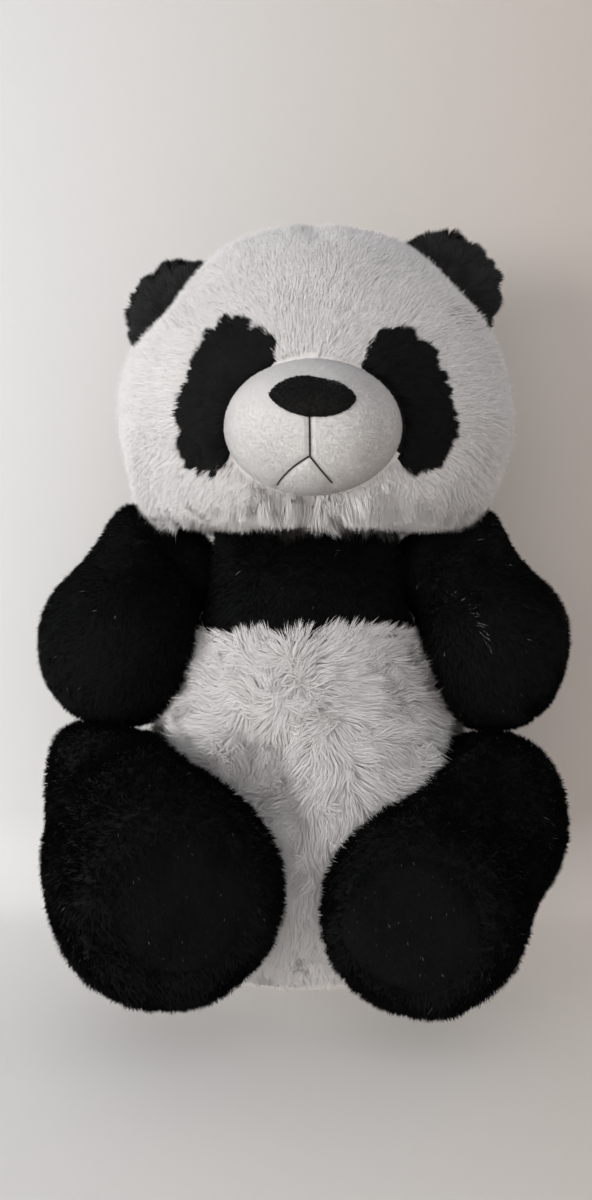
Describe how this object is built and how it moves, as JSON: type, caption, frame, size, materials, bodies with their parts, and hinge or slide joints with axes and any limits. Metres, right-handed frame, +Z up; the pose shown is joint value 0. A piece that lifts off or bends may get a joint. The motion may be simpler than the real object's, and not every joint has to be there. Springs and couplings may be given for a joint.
{
  "type": "plush panda",
  "caption": "Seated plush panda with long white pile on head and belly, black pile limbs and ears, smooth muzzle and limbs that turn about their seams.",
  "frame": {"origin": "centre of the flat seat the toy sits on, on the midline", "axes": "+Z up through the head, -Y the way the face and soles point, +X to the toy's own left"},
  "size_m": [0.286, 0.2094, 0.4206],
  "materials": {
    "white_pile": "matte",
    "long_white_pile": "matte",
    "short_white_pile": "matte",
    "black_pile": "matte",
    "short_black_pile": "matte",
    "nose_cloth": "matte",
    "black_thread": "matte",
    "white_thread": "matte",
    "stuffing": "matte",
    "pellet_bag_cloth": "matte"
  },
  "bodies": {
    "torso": {"seat_panel": "white_pile", "belly_panel": "long_white_pile", "chest_band": "black_pile", "lower_back_panel": "white_pile", "upper_back_panel": "black_pile", "pellet_bag": "pellet_bag_cloth", "torso_stuffing": "stuffing", "closing_stitches": "white_thread"},
    "neck": {"neck_seam": "white_thread"},
    "head": {"face_panel_left": "white_pile", "face_panel_right": "white_pile", "eye_patch_left": "black_pile", "eye_patch_right": "black_pile", "head_back_panel": "white_pile", "muzzle_cover": "short_white_pile", "head_stuffing": "stuffing", "nose": "nose_cloth", "mouth_stitches": "black_thread"},
    "ear_left": {"ear_left_front": "black_pile", "ear_left_back": "black_pile"},
    "shoulder_left": {"shoulder_left_seam": "black_thread"},
    "arm_left": {"arm_left_front_panel": "black_pile", "arm_left_back_panel": "black_pile", "arm_left_stuffing": "stuffing"},
    "hip_left": {"hip_left_seam": "black_thread"},
    "leg_left": {"leg_left_upper_panel": "black_pile", "leg_left_lower_panel": "black_pile", "sole_pad_left": "short_black_pile", "leg_left_stuffing": "stuffing"},
    "ear_right": {"ear_right_front": "black_pile", "ear_right_back": "black_pile"},
    "shoulder_right": {"shoulder_right_seam": "black_thread"},
    "arm_right": {"arm_right_front_panel": "black_pile", "arm_right_back_panel": "black_pile", "arm_right_stuffing": "stuffing"},
    "hip_right": {"hip_right_seam": "black_thread"},
    "leg_right": {"leg_right_upper_panel": "black_pile", "leg_right_lower_panel": "black_pile", "sole_pad_right": "short_black_pile", "leg_right_stuffing": "stuffing"}
  },
  "joints": [
    {"name": "neck_turn", "type": "hinge", "parent": "torso", "child": "neck", "pos_m": [0, 0.008, 0.238], "axis": [0, 0, 1], "range_deg": [-20, 20], "stiffness_Nm_per_rad": 0.3},
    {"name": "head_nod", "type": "hinge", "parent": "neck", "child": "head", "pos_m": [0, 0.008, 0.238], "axis": [-1, 0, 0], "range_deg": [-8, 12], "stiffness_Nm_per_rad": 1.5},
    {"name": "ear_left_fold", "type": "hinge", "parent": "head", "child": "ear_left", "pos_m": [0.07959, 0.006, 0.39618], "axis": [-0.6157, 0, 0.788], "range_deg": [-30, 30], "stiffness_Nm_per_rad": 0.05},
    {"name": "shoulder_left_lift", "type": "hinge", "parent": "torso", "child": "shoulder_left", "pos_m": [0.074, 0.004, 0.226], "axis": [0, -1, 0], "range_deg": [0, 25], "stiffness_Nm_per_rad": 0.3},
    {"name": "arm_left_swing", "type": "hinge", "parent": "shoulder_left", "child": "arm_left", "pos_m": [0.074, 0.004, 0.226], "axis": [-1, 0, 0], "range_deg": [-10, 40], "stiffness_Nm_per_rad": 0.3},
    {"name": "hip_left_splay", "type": "hinge", "parent": "torso", "child": "hip_left", "pos_m": [0.088, -0.028, 0.092], "axis": [0, 0, 1], "range_deg": [0, 18], "stiffness_Nm_per_rad": 0.4},
    {"name": "leg_left_raise", "type": "hinge", "parent": "hip_left", "child": "leg_left", "pos_m": [0.088, -0.028, 0.092], "axis": [-1, 0, 0], "range_deg": [-8, 18], "stiffness_Nm_per_rad": 0.6},
    {"name": "ear_right_fold", "type": "hinge", "parent": "head", "child": "ear_right", "pos_m": [-0.08834, 0.006, 0.38297], "axis": [0.4848, 0, 0.8746], "range_deg": [-30, 30], "stiffness_Nm_per_rad": 0.05},
    {"name": "shoulder_right_lift", "type": "hinge", "parent": "torso", "child": "shoulder_right", "pos_m": [-0.074, 0.004, 0.226], "axis": [0, 1, 0], "range_deg": [0, 25], "stiffness_Nm_per_rad": 0.3},
    {"name": "arm_right_swing", "type": "hinge", "parent": "shoulder_right", "child": "arm_right", "pos_m": [-0.074, 0.004, 0.226], "axis": [-1, 0, 0], "range_deg": [-10, 40], "stiffness_Nm_per_rad": 0.3},
    {"name": "hip_right_splay", "type": "hinge", "parent": "torso", "child": "hip_right", "pos_m": [-0.088, -0.028, 0.092], "axis": [0, 0, -1], "range_deg": [0, 18], "stiffness_Nm_per_rad": 0.4},
    {"name": "leg_right_raise", "type": "hinge", "parent": "hip_right", "child": "leg_right", "pos_m": [-0.088, -0.028, 0.092], "axis": [-1, 0, 0], "range_deg": [-8, 18], "stiffness_Nm_per_rad": 0.6}
  ]
}
